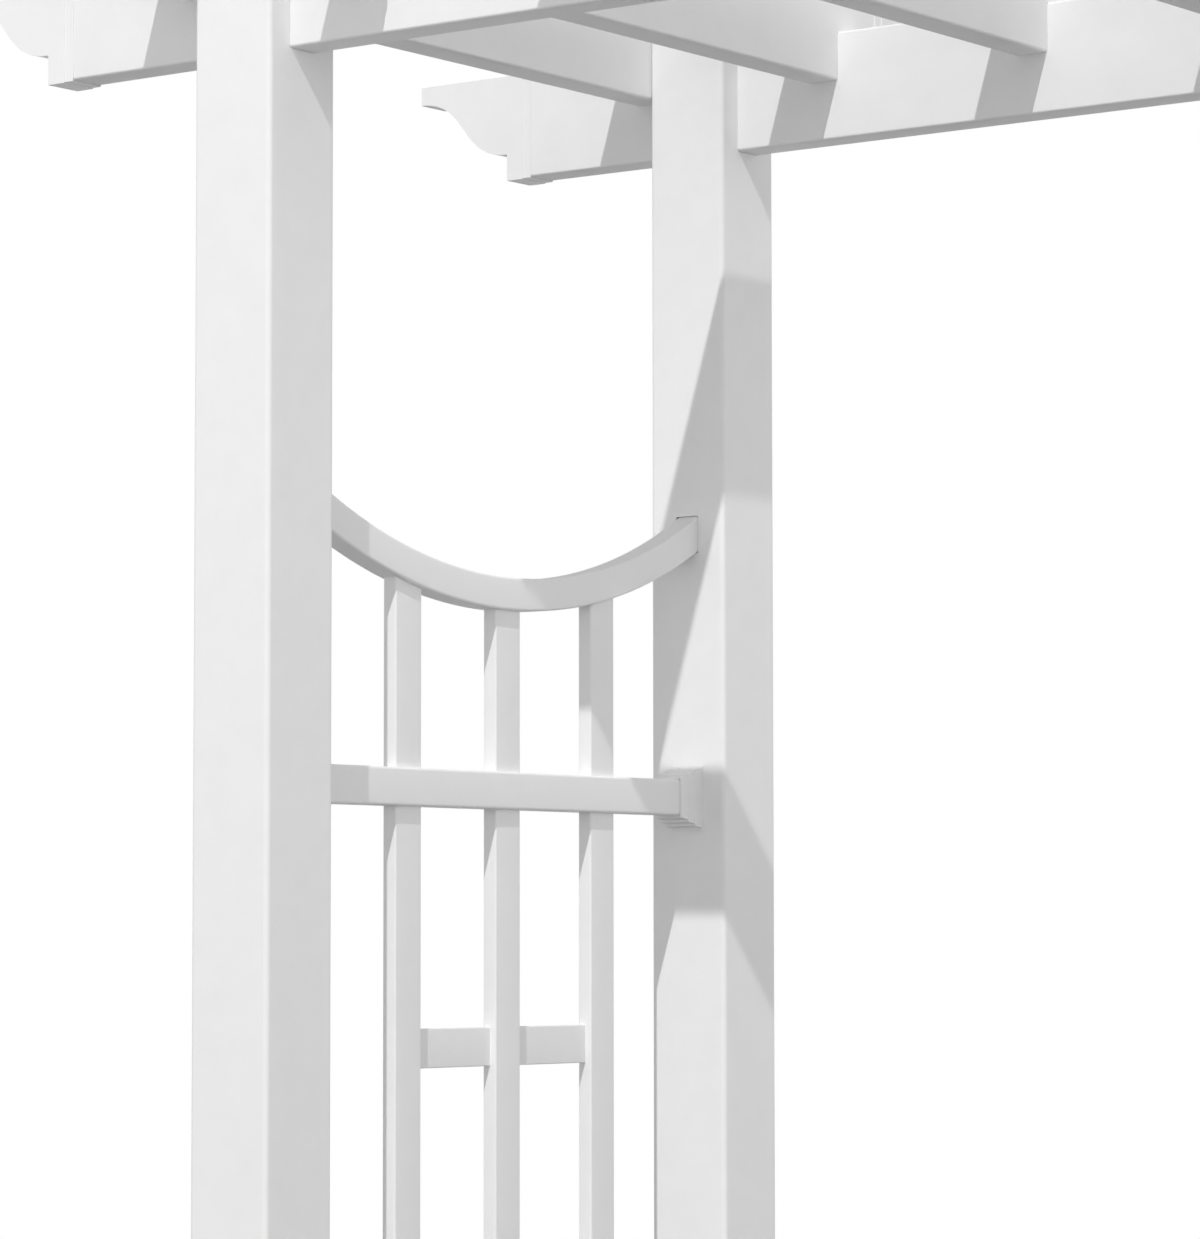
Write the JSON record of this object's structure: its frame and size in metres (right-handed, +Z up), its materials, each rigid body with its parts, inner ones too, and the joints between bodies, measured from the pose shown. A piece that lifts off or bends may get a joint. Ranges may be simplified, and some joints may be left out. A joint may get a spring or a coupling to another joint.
{
  "type": "vinyl arbor",
  "caption": "White vinyl garden arbor: square capped posts, beams and notched rafters with scrolled ends, and open side panels of balusters under a sagging arched rail.",
  "frame": {"origin": "on the ground at the middle of the walkway, centre of the footprint", "axes": "+X across the walkway to the right as seen from the front, +Y to the rear, +Z up"},
  "size_m": [2.49, 1.53, 2.368],
  "materials": {
    "vinyl_profile": "satin white extruded rigid vinyl",
    "moulded_vinyl": "satin white moulded vinyl caps and brackets",
    "galvanised_steel": "hot-dip galvanised",
    "stainless_steel": "plain stainless screws",
    "guide_plastic": "matt black moulded polyethylene"
  },
  "bodies": {
    "root": {"post_front_left": "vinyl_profile", "post_front_right": "vinyl_profile", "post_rear_left": "vinyl_profile", "post_rear_right": "vinyl_profile", "beam_front": "vinyl_profile", "beam_rear": "vinyl_profile", "rafter_1": "vinyl_profile", "rafter_2": "vinyl_profile", "rafter_3": "vinyl_profile", "rafter_4": "vinyl_profile", "rafter_5": "vinyl_profile", "rafter_6": "vinyl_profile", "arched_rail_left": "vinyl_profile", "arched_rail_right": "vinyl_profile", "middle_rail_left": "vinyl_profile", "middle_rail_right": "vinyl_profile", "bottom_rail_left": "vinyl_profile", "bottom_rail_right": "vinyl_profile", "baluster_left_1": "vinyl_profile", "baluster_left_2": "vinyl_profile", "baluster_left_3": "vinyl_profile", "baluster_right_1": "vinyl_profile", "baluster_right_2": "vinyl_profile", "baluster_right_3": "vinyl_profile", "crosspiece_upper_left": "vinyl_profile", "crosspiece_upper_right": "vinyl_profile", "crosspiece_lower_left": "vinyl_profile", "crosspiece_lower_right": "vinyl_profile", "post_cap_front_left": "moulded_vinyl", "post_cap_front_right": "moulded_vinyl", "post_cap_rear_left": "moulded_vinyl", "post_cap_rear_right": "moulded_vinyl", "beam_cap_front_left": "moulded_vinyl", "beam_cap_front_right": "moulded_vinyl", "beam_cap_rear_left": "moulded_vinyl", "beam_cap_rear_right": "moulded_vinyl", "rafter_cap_front_1": "moulded_vinyl", "rafter_cap_front_2": "moulded_vinyl", "rafter_cap_front_3": "moulded_vinyl", "rafter_cap_front_4": "moulded_vinyl", "rafter_cap_front_5": "moulded_vinyl", "rafter_cap_front_6": "moulded_vinyl", "rafter_cap_rear_1": "moulded_vinyl", "rafter_cap_rear_2": "moulded_vinyl", "rafter_cap_rear_3": "moulded_vinyl", "rafter_cap_rear_4": "moulded_vinyl", "rafter_cap_rear_5": "moulded_vinyl", "rafter_cap_rear_6": "moulded_vinyl", "rail_brackets_left": "moulded_vinyl", "rail_brackets_right": "moulded_vinyl", "post_mount_front_left": "galvanised_steel", "post_mount_front_right": "galvanised_steel", "post_mount_rear_left": "galvanised_steel", "post_mount_rear_right": "galvanised_steel", "bracket_screws": "stainless_steel", "rafter_screws": "stainless_steel", "post_guides_front_left": "guide_plastic", "post_guides_front_right": "guide_plastic", "post_guides_rear_left": "guide_plastic", "post_guides_rear_right": "guide_plastic"}
  },
  "joints": []
}
